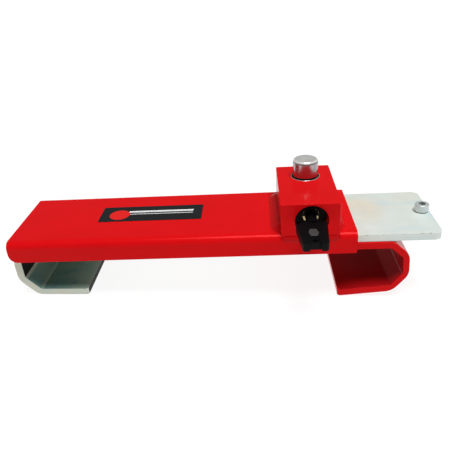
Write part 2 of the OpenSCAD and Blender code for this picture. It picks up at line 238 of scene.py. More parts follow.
def finish_piece(ob, body, mat, nodes, bevel=0.5, segments=3, angle=32, smooth_angle=40):
    bm = bmesh.new()
    bm.from_mesh(ob.data)
    bmesh.ops.remove_doubles(bm, verts=bm.verts, dist=0.004)
    bmesh.ops.dissolve_degenerate(bm, edges=bm.edges, dist=0.004)
    bm.to_mesh(ob.data)
    bm.free()
    for p in ob.data.polygons:
        p.use_smooth = True
    if bevel > 0:
        mod = ob.modifiers.new("round", "BEVEL")
        mod.width = bevel
        mod.segments = segments
        mod.limit_method = "ANGLE"
        mod.angle_limit = math.radians(angle)
        mod.use_clamp_overlap = True
        mod.harden_normals = False
        mod.miter_outer = "MITER_ARC"
    apply_all(ob)
    ob.data.set_sharp_from_angle(angle=math.radians(smooth_angle))
    mod = ob.modifiers.new("normals", "WEIGHTED_NORMAL")
    mod.mode = "FACE_AREA"
    mod.weight = 80
    mod.keep_sharp = True
    apply_all(ob)
    ob.data.transform(TO_FRAME)
    ob.data.materials.clear()
    ob.data.materials.append(mat)
    if nodes:
        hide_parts(*nodes)
    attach(ob, body)
    return ob


# ------------------------------------------------------------------ materials
def material(name):
    m = bpy.data.materials.new(name)
    m.use_nodes = True
    nt = m.node_tree
    nt.nodes.clear()
    out = nt.nodes.new("ShaderNodeOutputMaterial")
    bsdf = nt.nodes.new("ShaderNodeBsdfPrincipled")
    nt.links.new(bsdf.outputs["BSDF"], out.inputs["Surface"])
    coord = nt.nodes.new("ShaderNodeTexCoord")
    return m, nt, bsdf, coord.outputs["Object"]


def scaled(nt, vec, scale):
    n = nt.nodes.new("ShaderNodeMapping")
    n.inputs["Scale"].default_value = scale
    nt.links.new(vec, n.inputs["Vector"])
    return n.outputs["Vector"]


def noise_tex(nt, vec, scale, detail=4.0, rough=0.55, distortion=0.0):
    n = nt.nodes.new("ShaderNodeTexNoise")
    n.inputs["Scale"].default_value = scale
    n.inputs["Detail"].default_value = detail
    n.inputs["Roughness"].default_value = rough
    n.inputs["Distortion"].default_value = distortion
    nt.links.new(vec, n.inputs["Vector"])
    return n.outputs["Fac"]


def ramp(nt, fac, stops):
    """Linear colour ramp from (position, colour) stops."""
    n = nt.nodes.new("ShaderNodeValToRGB")
    n.color_ramp.interpolation = "LINEAR"
    els = n.color_ramp.elements
    while len(els) > 1:
        els.remove(els[-1])
    els[0].position = stops[0][0]
    els[0].color = (*stops[0][1], 1)
    for pos, col in stops[1:]:
        e = els.new(pos)
        e.color = (*col, 1)
    nt.links.new(fac, n.inputs["Fac"])
    return n.outputs["Color"]


def grey_ramp(nt, fac, a, va, b, vb):
    return ramp(nt, fac, [(a, (va, va, va)), (b, (vb, vb, vb))])


def steps(nt, val, stops):
    """Piecewise linear curve of a plain value, from (value, result) stops."""
    lo, hi = stops[0][0], stops[-1][0]
    n = nt.nodes.new("ShaderNodeMapRange")
    n.inputs["From Min"].default_value = lo
    n.inputs["From Max"].default_value = hi
    nt.links.new(val, n.inputs["Value"])
    return ramp(nt, n.outputs["Result"], [((v - lo) / (hi - lo), (f, f, f)) for v, f in stops])


def mix(nt, fac, a, b, mode="MIX"):
    n = nt.nodes.new("ShaderNodeMix")
    n.data_type = "RGBA"
    n.blend_type = mode
    for key, val in ((0, fac), (6, a), (7, b)):
        if isinstance(val, (tuple, list)):
            n.inputs[key].default_value = (*val, 1)
        elif isinstance(val, (int, float)):
            n.inputs[key].default_value = val
        else:
            nt.links.new(val, n.inputs[key])
    return n.outputs[2]


def bump(nt, height, strength, distance, normal=None):
    n = nt.nodes.new("ShaderNodeBump")
    n.inputs["Strength"].default_value = strength
    n.inputs["Distance"].default_value = distance
    nt.links.new(height, n.inputs["Height"])
    if normal is not None:
        nt.links.new(normal, n.inputs["Normal"])
    return n.outputs["Normal"]


def inside(nt, coord, centre, near, far):
    """1 on faces that look toward the middle of a hook mouth, 0 elsewhere."""

    def vmath(op, *vals):
        n = nt.nodes.new("ShaderNodeVectorMath")
        n.operation = op
        for k, val in enumerate(vals):
            if isinstance(val, (tuple, list, Vector)):
                n.inputs[k].default_value = tuple(val)
            else:
                nt.links.new(val, n.inputs[k])
        return n

    place = TO_FRAME @ Vector(centre)
    to_centre = vmath("SUBTRACT", place, coord).outputs["Vector"]
    flat = vmath("MULTIPLY", to_centre, (1, 0, 1)).outputs["Vector"]
    geo = nt.nodes.new("ShaderNodeNewGeometry")
    unit = vmath("NORMALIZE", flat).outputs["Vector"]
    lean = vmath("DOT_PRODUCT", unit, geo.outputs["Normal"]).outputs["Value"]
    reach = vmath("LENGTH", flat).outputs["Value"]
    facing = grey_ramp(nt, lean, 0.15, 0.0, 0.40, 1.0)
    return mix(nt, 1.0, facing, grey_ramp(nt, reach, near * MM, 1.0, far * MM, 0.0), "MULTIPLY")


def paint(name, base, deep, rough=0.30, grain=0.10, shade=0.55):
    """Gloss powder coat: slow colour drift, orange peel, dull patches and pin-head specks, with
    painted shade that darkens the coat on faces inside the hook's mouth."""
    m, nt, b, vec = material(name)
    drift = noise_tex(nt, vec, 14.0, 3.0)
    col = mix(nt, grey_ramp(nt, drift, 0.3, 0.0, 0.75, 1.0), base, deep)
    speck = noise_tex(nt, vec, 900.0, 1.0)
    col = mix(nt, grey_ramp(nt, speck, 0.73, 0.0, 0.80, 0.35), col, (0.20, 0.02, 0.02))
    # painted shade: film marks the faces inside the hook's mouth, where the coat turns near-black
    # red
    film = mix(nt, 1.0, inside(nt, vec, (330, 0, -41), 34, 60), (shade, shade, shade), "MULTIPLY")
    col = mix(nt, film, col, (0.050, 0.004, 0.006))
    nt.links.new(col, b.inputs["Base Color"])
    dull = noise_tex(nt, vec, 34.0, 5.0, 0.6)
    nt.links.new(grey_ramp(nt, dull, 0.30, rough - 0.05, 0.72, rough + 0.09), b.inputs["Roughness"])
    peel = noise_tex(nt, vec, 520.0, 2.0, 0.4)
    wave = noise_tex(nt, vec, 90.0, 2.0, 0.4)
    nrm = bump(nt, wave, grain * 0.5, 0.0006)
    nt.links.new(bump(nt, peel, grain, 0.00012, nrm), b.inputs["Normal"])
    b.inputs["Specular IOR Level"].default_value = 0.25
    b.inputs["Specular Tint"].default_value = (1.0, 0.12, 0.12, 1)
    return m


def plated(
    name, base, warm, cool, rough=0.36, metallic=0.85, streak=(6.0, 240.0, 240.0), shade=0.0
):
    """Zinc plate: rolled streaks along the bar, faint yellow and blue drift, stains and fine
    scratches. With shade above 0 it also has the bar's rub marks, and painted shade and painted
    highlights inside the hook's mouth."""
    m, nt, b, vec = material(name)
    drift = noise_tex(nt, vec, 15.0, 3.0, 0.5, 0.6)
    col = mix(nt, grey_ramp(nt, drift, 0.44, 0.0, 0.64, 1.0), base, warm)
    drift2 = noise_tex(nt, scaled(nt, vec, (1.0, 2.2, 1.0)), 17.0, 3.0, 0.5, 1.2)
    col = mix(nt, grey_ramp(nt, drift2, 0.50, 0.0, 0.68, 0.9), col, cool)
    cloud = noise_tex(nt, vec, 60.0, 6.0, 0.65)
    col = mix(nt, grey_ramp(nt, cloud, 0.25, 0.20, 0.75, 0.0), col, (0.50, 0.52, 0.50))
    if shade > 0:
        # brown rub marks along the upper front edge
        part = nt.nodes.new("ShaderNodeSeparateXYZ")
        nt.links.new(vec, part.inputs["Vector"])
        edge = TO_FRAME @ Vector((0, -BAR_HALF, BAR_TOP))
        y_stops = [(edge.y - 0.001, 1), (edge.y + 0.0002, 1), (edge.y + 0.0009, 0)]
        z_stops = [(edge.z - 0.0012, 0), (edge.z - 0.0005, 1), (edge.z + 0.001, 1)]
        front = steps(nt, part.outputs["Y"], y_stops)
        top = steps(nt, part.outputs["Z"], z_stops)
        patches = noise_tex(nt, scaled(nt, vec, (1.0, 3.0, 3.0)), 160.0, 4.0, 0.6)
        rub = grey_ramp(nt, patches, 0.56, 0.0, 0.64, 0.75)
        where = mix(nt, 1.0, mix(nt, 1.0, front, top, "MULTIPLY"), rub, "MULTIPLY")
        col = mix(nt, where, col, (0.16, 0.11, 0.07))
        # painted shade inside the hook's mouth, with painted light on the upright wall and the
        # lip's far end and painted highlights along the bends; the hook below the bar gets a dimmer
        # beige tone, and the lip's end face turns near black
        # painted shade: mouth and film mark the faces inside the hook's mouth
        mouth = inside(nt, vec, (34, 0, -32), 36, 62)
        film = mix(nt, 1.0, mouth, (shade, shade, shade), "MULTIPLY")
        two_tone = grey_ramp(nt, drift2, 0.35, 0.0, 0.65, 1.0)
        # painted shade colours for the mouth, dark green-grey like its dim reflection
        mouth_shade_tone = mix(nt, two_tone, (0.15, 0.28, 0.22), (0.07, 0.22, 0.20))

        def along_x(*stops):
            placed = [((TO_FRAME @ Vector((x, 0, 0))).x, f) for x, f in stops]
            return steps(nt, part.outputs["X"], placed)

        # painted light: a lighter tone on the upright wall and toward the lip's far end
        painted_light = along_x((7.6, 0.9), (9.8, 0), (40.0, 0), (66.0, 0.5))
        mouth_shade_tone = mix(nt, painted_light, mouth_shade_tone, (0.40, 0.47, 0.38))
        blue = grey_ramp(nt, noise_tex(nt, vec, 70.0, 2.0, 0.5), 0.62, 0.0, 0.72, 0.7)
        mouth_shade_tone = mix(nt, blue, mouth_shade_tone, (0.03, 0.10, 0.24))
        geo = nt.nodes.new("ShaderNodeNewGeometry")
        normal = nt.nodes.new("ShaderNodeSeparateXYZ")
        nt.links.new(geo.outputs["Normal"], normal.inputs["Vector"])
        # painted highlights along the two inner bends
        left_bend = ((6.6, 0), (7.6, 0.30), (8.8, 0.30), (9.8, 0))
        lip_bend = ((19.0, 0), (20.0, 0.40), (21.2, 0.40), (22.2, 0))
        bend_highlight = along_x(*left_bend, *lip_bend)
        mouth_shade_tone = mix(nt, bend_highlight, mouth_shade_tone, (0.72, 0.78, 0.66))
        # a dimmer beige tone on the hook below the bar
        low = steps(nt, part.outputs["Z"], [(edge.z - 0.014, 1), (edge.z - 0.009, 0)])
        col = mix(nt, mix(nt, 1.0, low, (0.5, 0.5, 0.5), "MULTIPLY"), col, (0.50, 0.52, 0.40))
        col = mix(nt, film, col, mouth_shade_tone)
        # near black on the lip's end face
        sheared = steps(nt, normal.outputs["X"], [(0.86, 0), (0.96, 1)])
        end = mix(nt, 1.0, low, sheared, "MULTIPLY")
        col = mix(nt, end, col, (0.012, 0.012, 0.011))
        dull = mix(nt, 1.0, end, film, "LIGHTEN")
        level = mix(nt, dull, (0.5, 0.5, 0.5), (0.06, 0.06, 0.06))
        nt.links.new(level, b.inputs["Specular IOR Level"])
    nt.links.new(col, b.inputs["Base Color"])
    lines = noise_tex(nt, scaled(nt, vec, streak), 4.0, 4.0, 0.6)
    cloudy = grey_ramp(nt, cloud, 0.3, rough - 0.07, 0.7, rough + 0.08)
    lined = grey_ramp(nt, lines, 0.3, rough - 0.06, 0.7, rough + 0.08)
    nt.links.new(mix(nt, 0.5, cloudy, lined), b.inputs["Roughness"])
    pits = noise_tex(nt, vec, 1400.0, 3.0)
    nrm = bump(nt, lines, 0.16, 0.0001)
    nt.links.new(bump(nt, pits, 0.08, 0.00006, nrm), b.inputs["Normal"])
    b.inputs["Metallic"].default_value = metallic
    return m


def turned(
    name,
    base,
    rough=0.16,
    rings=1500.0,
    ring_bump=0.06,
    dark=(0.45, 0.45, 0.46),
    metallic=1.0,
    side=None,
):
    """Turned metal: fine rings square to Z, with faint smears. side is a darker colour painted on
    upright faces as painted shade, with a painted highlight on the rounded edge above them and a
    painted shadow line along that edge's lower side."""
    m, nt, b, vec = material(name)
    lines = noise_tex(nt, scaled(nt, vec, (20.0, 20.0, rings)), 1.0, 3.0, 0.5)
    smear = noise_tex(nt, vec, 120.0, 4.0, 0.6)
    col = mix(nt, grey_ramp(nt, smear, 0.35, 0.25, 0.7, 0.0), base, dark)
    b.inputs["Metallic"].default_value = metallic
    if side is not None:
        # painted shade: upright faces get the darker side colour, and the top face is less
        # metallic, so it scatters more light than the side
        geo = nt.nodes.new("ShaderNodeNewGeometry")
        parts = nt.nodes.new("ShaderNodeSeparateXYZ")
        nt.links.new(geo.outputs["Normal"], parts.inputs["Vector"])
        up = grey_ramp(nt, parts.outputs["Z"], 0.15, 0.0, 0.60, 1.0)
        # painted highlight on the rounded edge above the upright faces
        rim_highlight = steps(nt, parts.outputs["Z"], [(0.20, 0), (0.45, 1), (0.90, 1), (0.985, 0)])
        col = mix(nt, rim_highlight, col, (1.0, 0.99, 0.95))
        col = mix(nt, up, side, col)
        # painted shadow line along the lower side of that edge
        under = steps(nt, parts.outputs["Z"], [(0.01, 0), (0.04, 1), (0.16, 1), (0.26, 0)])
        col = mix(nt, mix(nt, 1.0, under, (0.85, 0.85, 0.85), "MULTIPLY"), col, (0.06, 0.05, 0.05))
        nt.links.new(mix(nt, up, (1, 1, 1), (metallic, metallic, metallic)), b.inputs["Metallic"])
    nt.links.new(col, b.inputs["Base Color"])
    lined = grey_ramp(nt, lines, 0.3, rough - 0.04, 0.7, rough + 0.06)
    smeared = grey_ramp(nt, smear, 0.3, rough - 0.04, 0.7, rough + 0.08)
    nt.links.new(mix(nt, 0.5, lined, smeared), b.inputs["Roughness"])
    nt.links.new(bump(nt, lines, ring_bump, 0.00004), b.inputs["Normal"])
    return m


def plastic(name, base, edge, rough=0.42, grain=0.25, scale=1500.0, metallic=0.0, specular=0.5):
    """Moulded plastic or rubber: fine grain, finger shine and a little dust."""
    m, nt, b, vec = material(name)
    dust = noise_tex(nt, vec, 260.0, 5.0, 0.7)
    col = mix(nt, grey_ramp(nt, dust, 0.52, 0.0, 0.78, 0.5), base, edge)
    nt.links.new(col, b.inputs["Base Color"])
    shine = noise_tex(nt, vec, 70.0, 3.0)
    nt.links.new(grey_ramp(nt, shine, 0.3, rough - 0.08, 0.7, rough + 0.10), b.inputs["Roughness"])
    nt.links.new(bump(nt, noise_tex(nt, vec, scale, 2.0), grain, 0.00005), b.inputs["Normal"])
    b.inputs["Metallic"].default_value = metallic
    b.inputs["Specular IOR Level"].default_value = specular
    return m


RED = paint("red_coat", (0.71, 0.005, 0.007), (0.63, 0.004, 0.006), rough=0.20)
RED_WELD = paint("red_coat_weld", (0.62, 0.006, 0.008), (0.52, 0.005, 0.007), rough=0.30, grain=0.2)
# painted shade: a darker red for the front seam along the foot of the block
RED_SEAM_SHADE = paint("red_coat_seam_shade", (0.56, 0.006, 0.008), (0.47, 0.005, 0.007), rough=0.36, grain=0.3)
ZINC = plated(
    "zinc_coat",
    (0.76, 0.83, 0.78),
    (0.78, 0.76, 0.64),
    (0.64, 0.79, 0.80),
    rough=0.50,
    metallic=0.18,
    shade=0.85,
)
# side: painted shade and painted reflection on the knob's upright faces
PIN_METAL = turned(
    "pin_metal", (0.78, 0.78, 0.75), rough=0.20, metallic=0.42, side=(0.44, 0.38, 0.40)
)
RING_METAL = turned("ring_metal", (0.82, 0.82, 0.80), rough=0.20, metallic=0.7)
SCREW_METAL = plated(
    "screw_metal",
    (0.72, 0.80, 0.80),
    (0.68, 0.72, 0.68),
    (0.60, 0.74, 0.78),
    rough=0.32,
    metallic=0.45,
    streak=(300.0, 300.0, 30.0),
)
STEEL = turned("machined_metal", (0.50, 0.50, 0.51), rough=0.30, rings=700.0, ring_bump=0.15)
HARD_STEEL = turned("hardened_metal", (0.22, 0.22, 0.23), rough=0.30)
SPRING = turned("spring_metal", (0.52, 0.52, 0.53), rough=0.24)
BRASS = turned("brass_metal", (0.80, 0.60, 0.26), rough=0.24, dark=(0.55, 0.40, 0.17))
# painted highlight: brighter, less metallic brass for the lit arcs of the plug's edge
BRASS_GLINT = turned(
    "brass_glint", (0.88, 0.74, 0.40), rough=0.34, dark=(0.70, 0.56, 0.28), metallic=0.35
)
KEY_METAL = turned("key_metal", (0.68, 0.67, 0.63), rough=0.26)
RUBBER = plastic("seal_black", (0.006, 0.006, 0.006), (0.02, 0.02, 0.02), rough=0.55, grain=0.4)
BLACK = plastic(
    "key_black", (0.0017, 0.0019, 0.0025), (0.006, 0.006, 0.006),
    rough=0.50, grain=0.3, specular=0.10,
)
FACE_BLACK = plastic(
    "face_black", (0.004, 0.0025, 0.0025), (0.008, 0.006, 0.006),
    rough=0.45, grain=0.2, specular=0.08,
)
BADGE = plastic(
    "badge_gloss", (0.105, 0.098, 0.094), (0.15, 0.14, 0.14),
    rough=0.30, grain=0.15, metallic=0.5,
)
LABEL = plastic(
    "label_film", (0.010, 0.011, 0.012), (0.020, 0.020, 0.021),
    rough=0.28, grain=0.12, scale=700.0,
)
LABEL_RED = plastic(
    "label_red_film", (0.75, 0.012, 0.010), (0.66, 0.012, 0.010),
    rough=0.30, grain=0.12, scale=700.0,
)
LABEL_WHITE = plastic(
    "label_white_film", (0.80, 0.80, 0.80), (0.70, 0.70, 0.70),
    rough=0.34, grain=0.12, scale=700.0,
)


# ------------------------------------------------------------------ channel and block
def channel():
    n = 14
    outline = (
        [(-HALF_W, -HEIGHT), (-HALF_W + WALL, -HEIGHT)]
        + arc(-HALF_W + WALL + 1, -WALL - 1, 1, 180, 90, 5)
        + arc(HALF_W - WALL - 1, -WALL - 1, 1, 90, 0, 5)
        + [(HALF_W - WALL, -HEIGHT), (HALF_W, -HEIGHT)]
        + arc(HALF_W - BEND, -BEND, BEND, 0, 90, n)
        + arc(-HALF_W + BEND, -BEND, BEND, 90, 180, n)
    )
    ob = as_object("channel_body", prism(outline, "x", 0, LENGTH))
    side = rrect(0, -HEIGHT, LENGTH, 10, [8, 2, 1, 1])
    cut(ob, prism(side, "y", -HALF_W - 1, HALF_W + 1), mode="INTERSECT")
    # just past the wall's inner face, so that no film of metal is left in the window
    cut(ob, prism(rect(BX0, -HALF_W - 1, BX1, BY1), "z", -WALL - 0.01, 1))
    finish_piece(ob, "base", RED, ["outer_channel"], bevel=0.6)


def block():
    plan = rrect(BX0, BY0, BX1, BY1, [1.5] * 4, 6)
    ob = as_object("block_body", prism(plan, "z", BZ0, BZ1))
    cut(ob, prism(circle(AXIS_X, KEY_Z, RECESS_R, 96), "y", BY0 - 1, FACE_Y + 1))
    cut(ob, prism(circle(AXIS_X, KEY_Z, 13.1, 64), "y", FACE_Y, -8))
    cut(ob, prism(circle(AXIS_X, KEY_Z, 9.0, 48), "y", -9, -4))
    cut(ob, prism(circle(AXIS_X, PIN_Y, CHAMBER_R, 64), "z", BZ0 + 1, CHAMBER_TOP))
    cut(ob, prism(circle(AXIS_X, PIN_Y, RING_R, 96), "z", 22, BZ1 + 1))
    # pocket for pin carrier and latch, then the room above it for the latch's raised lug
    cut(ob, prism(rect(AXIS_X - 17.5, -4.5, AXIS_X + 21.5, 34.5), "z", BZ0 - 1, 12.3))
    cut(ob, prism(rect(AXIS_X - 10, -4.5, AXIS_X + 10, 1.4), "z", 12, 17.6))
    cut(ob, prism(circle(-15, KEY_Z + 12, 1.65, 32), "x", AXIS_X - 9, BX1 + 1))
    finish_piece(ob, "base", RED, ["lock_block"], bevel=0.6)


# ------------------------------------------------------------------ weld beads
def bead(name, start, end, leg_a, leg_b, width, height, rough=0.03, pitch=2.4, seed=1):
    """Fillet bead from start to end in the corner of two faces that run along leg_a and leg_b."""
    a, b = Vector(start), Vector(end)
    along = (b - a).normalized()
    u, v = Vector(leg_a), Vector(leg_b)
    total = (b - a).length
    count = max(8, int(total / WELD_STEP))
    rng = random.Random(seed)
    shift = Vector((rng.uniform(0, 50), rng.uniform(0, 50), rng.uniform(0, 50)))
    bm = bmesh.new()
    rings = []
    for i in range(count + 1):
        s = total * i / count
        end_in = min(s, total - s)
        fade = min(1.0, (max(0.0, end_in + 0.1) / 9.0) ** 0.55)
        ring = [bm.verts.new(a + along * s - u * 0.05 - v * 0.05)]
        for k in range(WELD_ARCS + 1):
            t = k / WELD_ARCS
            lean = math.sin(math.pi * t)
            phase = (s + 1.5 * lean) / pitch
            ripple = abs(math.sin(math.pi * phase))
            wob = noise.noise(Vector((s * 0.16, t * 1.5, 0)) + shift)
            fine = noise.noise(Vector((s * 0.9, t * 6.0, 4)) + shift)
            flat = 1 - 0.27 * math.sin(math.pi * t)
            size = fade * (flat + lean * rough * (ripple + 2.4 * wob + 0.5 * fine))
            size_u = width * (1 + 0.06 * wob) if 0 < k < WELD_ARCS else width
            turn = t * math.pi / 2
            out = u * size_u * math.cos(turn) * size
            rise = v * height * math.sin(turn) * size
            ring.append(bm.verts.new(a + along * s + out + rise))
        rings.append(ring)
    skin(bm, rings)
    return as_object(name, bm)


def seam_bead(name, start, end, out, across, width, height, seed):
    """Low crowned bead lying on a face. out is the face's normal, and across is the
    direction of the bead's width."""
    a, b = Vector(start), Vector(end)
    along = (b - a).normalized()
    n_out, n_ac = Vector(out), Vector(across)
    total = (b - a).length
    count = max(8, int(total / WELD_STEP))
    rng = random.Random(seed)
    shift = Vector((rng.uniform(0, 50), rng.uniform(0, 50), rng.uniform(0, 50)))
    bm = bmesh.new()
    rings = []
    for i in range(count + 1):
        s = total * i / count
        fade = min(1.0, math.sqrt(max(0.0, min(s, total - s) + 0.1) / 2.5))
        ring = []
        for k in range(WELD_ARCS + 1):
            t = k / WELD_ARCS
            lean = math.sin(math.pi * t)
            ripple = abs(math.sin(math.pi * (s + 1.3 * lean) / 2.3))
            wob = noise.noise(Vector((s * 0.18, t * 1.4, 0)) + shift)
            crown = height * fade * (lean ** 0.75) * (0.78 + 0.14 * ripple + 0.16 * wob)
            reach = n_ac * width * fade * (t - 0.5) * (1 + 0.05 * wob)
            ring.append(bm.verts.new(a + along * s + reach + n_out * crown))
        ring.append(bm.verts.new(a + along * s - n_out * 0.4 + n_ac * width * 0.42 * fade))
        ring.append(bm.verts.new(a + along * s - n_out * 0.4 - n_ac * width * 0.42 * fade))
        rings.append(ring)
    skin(bm, rings)
    return as_object(name, bm)


def welds():
    y0, y1 = -HALF_W + BEND - 0.8, BY1 - 0.5
    up = (0, 0, 1)

    def declare(ob, mat, nodes):
        finish_piece(ob, "base", mat, nodes, bevel=0, smooth_angle=60)

    ends = (BX0, y0, 0), (BX0, y1, 0)
    left = bead("weld_left", *ends, (-1, 0, 0), up, 8.2, 3.8, rough=0.02, pitch=3.6, seed=3)
    ends = (BX1, y0, 0), (BX1, y1, 0)
    right = bead("weld_right", *ends, (1, 0, 0), up, 6.4, 4.4, rough=0.06, pitch=6.5, seed=5)
    ends = (BX0 + 2, BY1 + 0.1, 1.6), (BX1 - 2, BY1 + 0.1, 1.6)
    back = seam_bead("weld_back", *ends, (0, 1, 0), up, 4.2, 0.9, 7)
    ends = (BX0 + 0.5, BY0 - 0.6, -5), (BX1 - 0.5, BY0 - 0.6, -5)
    front = seam_bead("weld_front", *ends, (0, -1, 0), up, 6.8, 0.8, 9)
    for ob in (left, right, back, front):
        # the front seam takes the darker red as painted shade
        mat = RED_SEAM_SHADE if ob is front else RED_WELD
        declare(ob, mat, ["block_welds"] if ob is left else [])
    k = 0
    for y in (WALL - HALF_W, HALF_W - WALL):
        for xa, xb in ((LENGTH - 68, LENGTH - 44), (LENGTH - 30, LENGTH - 4)):
            ends = (xa, y, -HEIGHT), (xb, y, -HEIGHT)
            ob = seam_bead(f"weld_under_{k}", *ends, (0, 0, -1), (0, 1, 0), 5.2, 1.8, 20 + k)
            declare(ob, RED_WELD, ["hook_welds"] if k == 0 else [])
            k += 1


# ------------------------------------------------------------------ bent plates
def bent(line, t, q):
    """Outline of a plate bent along its inner line, with the thickness t of each leg and
    the outer radius q of each bend."""
    n, inner_r = 9, 3.0
    pts = [Vector(p) for p in line]
    last = len(pts) - 1

    def turn(a, b):
        return a.x * b.y - a.y * b.x

    legs = [(pts[i + 1] - pts[i]).normalized() for i in range(last)]
    s = 1 if turn(legs[0], legs[1]) > 0 else -1
    off = [Vector((u.y, -u.x)) * s * t[i] for i, u in enumerate(legs)]
    far = [pts[0] + off[0]]
    for i in range(1, last):
        a, c = pts[i - 1] + off[i - 1], pts[i] + off[i]
        far.append(a + legs[i - 1] * turn(c - a, legs[i]) / turn(legs[i - 1], legs[i]))
    far.append(pts[last] + off[last - 1])

    def corner(p, i, r):
        u, w = legs[i - 1], legs[i]
        g = math.acos(max(-1, min(1, u.dot(w))))
        c = p + (w - u).normalized() * r / math.cos(g / 2)
        d = Vector((u.y, -u.x)) * s * r
        spokes = []
        for k in range(n + 1):
            a = s * g * k / n
            x = c.x + d.x * math.cos(a) - d.y * math.sin(a)
            y = c.y + d.x * math.sin(a) + d.y * math.cos(a)
            spokes.append((x, y))
        return spokes

    inner, outer = [], []
    for i in range(1, last):
        inner += corner(pts[i], i, inner_r)
        outer += corner(far[i], i, q[i - 1])
    tip = [tuple(pts[last]), tuple(far[last])]
    return [tuple(pts[0])] + inner + tip + outer[::-1] + [tuple(far[0])]


def corner_tool(x_end, y_edge, r, side, direction, z0, z1):
    """Prism that rounds one plan corner: direction +1 for an end that faces +x."""
    past = x_end + direction * 3
    pts = [(past, side * (y_edge + 1)), (past, side * (y_edge - r))]
    cx = x_end - direction * r
    for k in range(9):
        a = math.pi / 2 * k / 8
        pts.append((cx + direction * r * math.cos(a), side * (y_edge - r + r * math.sin(a))))
    pts.append((cx, side * (y_edge + 1)))
    return prism(pts, "z", z0, z1)


def bar():
    line = [
        (BAR_END, BAR_LOW),
        (17.5, BAR_LOW),
        (7.2, BAR_LOW - 10.2),
        (7.2, BAR_LOW - MOUTH + 13.4),
        (20, BAR_LOW - MOUTH - 0.4),
        (66, BAR_LOW - MOUTH - 1.8),
    ]
    thick = [PLATE, PLATE, PLATE, PLATE, PLATE - 0.6]
    outline = bent(line, thick, [10, 12, 15, 12])
    ob = as_object("bar_plate", prism(outline, "y", -BAR_HALF, BAR_HALF))
    for s in (-1, 1):
        cut(ob, corner_tool(BAR_END, BAR_HALF, 7, s, 1, BAR_LOW - 3, BAR_TOP + 3))
        cut(ob, corner_tool(66.0, BAR_HALF, 3, s, 1, line[5][1] - PLATE - 3, line[5][1] + 5))
    for k in range(-7, 3):
        hole = circle(AXIS_X + HOLE_PITCH * k, PIN_Y, HOLE_R, 64)
        cut(ob, prism(hole, "z", BAR_LOW - 1, BAR_TOP + 1))
    cut(ob, prism(circle(SCREW_X, 0, 4.0, 48), "z", BAR_LOW - 1, BAR_TOP + 1))
    finish_piece(ob, "bar", ZINC, ["sliding_bar"], bevel=0.55)


def hook():
    fx = LENGTH + 43.5
    line = [
        (LENGTH - 74, SHELF_LOW),
        (fx - 12, SHELF_LOW),
        (fx - 0.9, SHELF_LOW - 10.3),
        (fx, SHELF_LOW - MOUTH + 14.7),
        (fx - 10.5, SHELF_LOW - MOUTH + 1.7),
        (fx - 58.7, SHELF_LOW - MOUTH - 2.2),
    ]
    half = HALF_W - WALL
    thick = [PLATE, PLATE - 0.5, PLATE - 1, PLATE - 0.7, PLATE]
    ob = as_object("hook_plate", prism(bent(line, thick, [15] * 4), "y", -half, half))
    for s in (-1, 1):
        cut(ob, corner_tool(line[5][0], half, 4, s, -1, line[5][1] - PLATE - 4, line[5][1] + 5))
    hole = circle(AXIS_X, PIN_Y, HOLE_R, 64)
    cut(ob, prism(hole, "z", SHELF_LOW - 1, SHELF_LOW + PLATE + 1))
    finish_piece(ob, "base", RED, ["fixed_hook"], bevel=0.55)


# ------------------------------------------------------------------ screw, pin and collar
def screw():
    z = BAR_TOP
    shank, root, head, pitch = 3.95, 3.6, 6.5, 1.25
    prof = [(0, BAR_LOW), (3.5, BAR_LOW), (shank, BAR_LOW + 0.5)]
    zz = BAR_LOW + 0.6
    while zz < z - 1.4:
        prof += [(shank, zz), (shank, zz + 0.35), (root, zz + 0.62), (shank, zz + 0.9)]
        zz += pitch
    prof += [(shank, z), (5.9, z), (6.0, z + 0.5), (head, z + 0.9), (head, z + 6.9)]
    prof += [(6.35, z + 7.35), (6.0, z + 7.65), (5.5, z + 7.8), (0, z + 7.8)]
    ob = as_object("cap_screw", lathe(prof, 96, "z", (SCREW_X, 0, 0)))
    # fine knurl on the side of the head
    for v in ob.data.vertices:
        dx, dy = v.co.x - SCREW_X, v.co.y
        r = math.hypot(dx, dy)
        if r > 6.45 and z + 0.2 < v.co.z < z + 7.0:
            a = math.atan2(dy, dx)
            f = (head - 0.10 * (0.5 + 0.5 * math.cos(a * 48))) / r
            v.co.x, v.co.y = SCREW_X + dx * f, dy * f
    hexa = []
    for k in range(6):
        a = math.radians(60 * k + 12)
        hexa.append((SCREW_X + 3.464 * math.cos(a), 3.464 * math.sin(a)))
    cut(ob, prism(hexa, "z", z + 3.8, z + 9))
    finish_piece(
        ob, "bar", SCREW_METAL, ["stop_screw"], bevel=0.15, segments=2, angle=45
    )
    # painted shade: a black plug in the bottom of the socket and a black ring in the joint beneath
    # the head, where shade falls
    inner = [(SCREW_X + (x - SCREW_X) * 0.97, y * 0.97) for x, y in hexa]
    ob = as_object("socket_shade", prism(inner, "z", z + 3.75, z + 5.2))
    finish_piece(ob, "bar", RUBBER, [], bevel=0.1, segments=2)
    prof = [(5.7, z - 0.02), (6.25, z - 0.02), (6.3, z + 0.25), (6.1, z + 0.75), (5.7, z + 0.75)]
    ob = as_object("head_shadow_ring", lathe(prof, 96, "z", (SCREW_X, 0, 0)))
    finish_piece(ob, "bar", RUBBER, [], bevel=0, smooth_angle=50)


